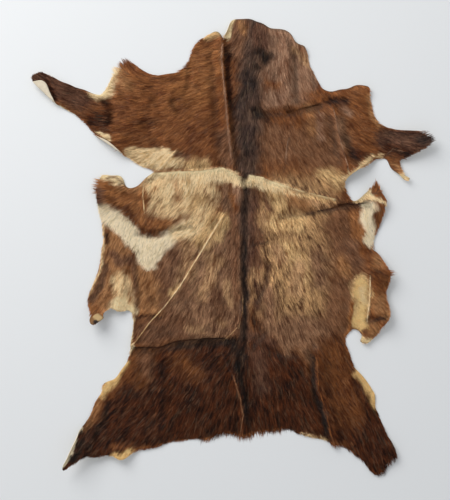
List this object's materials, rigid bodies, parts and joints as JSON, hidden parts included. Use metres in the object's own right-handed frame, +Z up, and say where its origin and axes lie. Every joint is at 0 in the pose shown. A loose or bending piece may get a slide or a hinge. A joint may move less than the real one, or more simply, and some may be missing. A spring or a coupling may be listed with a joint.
{
  "type": "goatskin rug",
  "caption": "Tanned goatskin floor rug with its short hair on, legs and neck left on the outline, lying hair side up with fold lines, curled edges and a turned-over foreleg tip.",
  "frame": {"origin": "middle of the bounding box of the rug, on the floor that it lies on", "axes": "+Y from the tail end to the neck, +X to the picture's right, +Z up from the floor, out of the hair side"},
  "size_m": [0.7972, 0.9114, 0.041],
  "materials": {
    "coat": "matt short animal hair, brown and golden brindle with white and cream patches",
    "skin": "matt cream tanned flesh side"
  },
  "bodies": {
    "root": {"hide": "coat"}
  },
  "joints": []
}
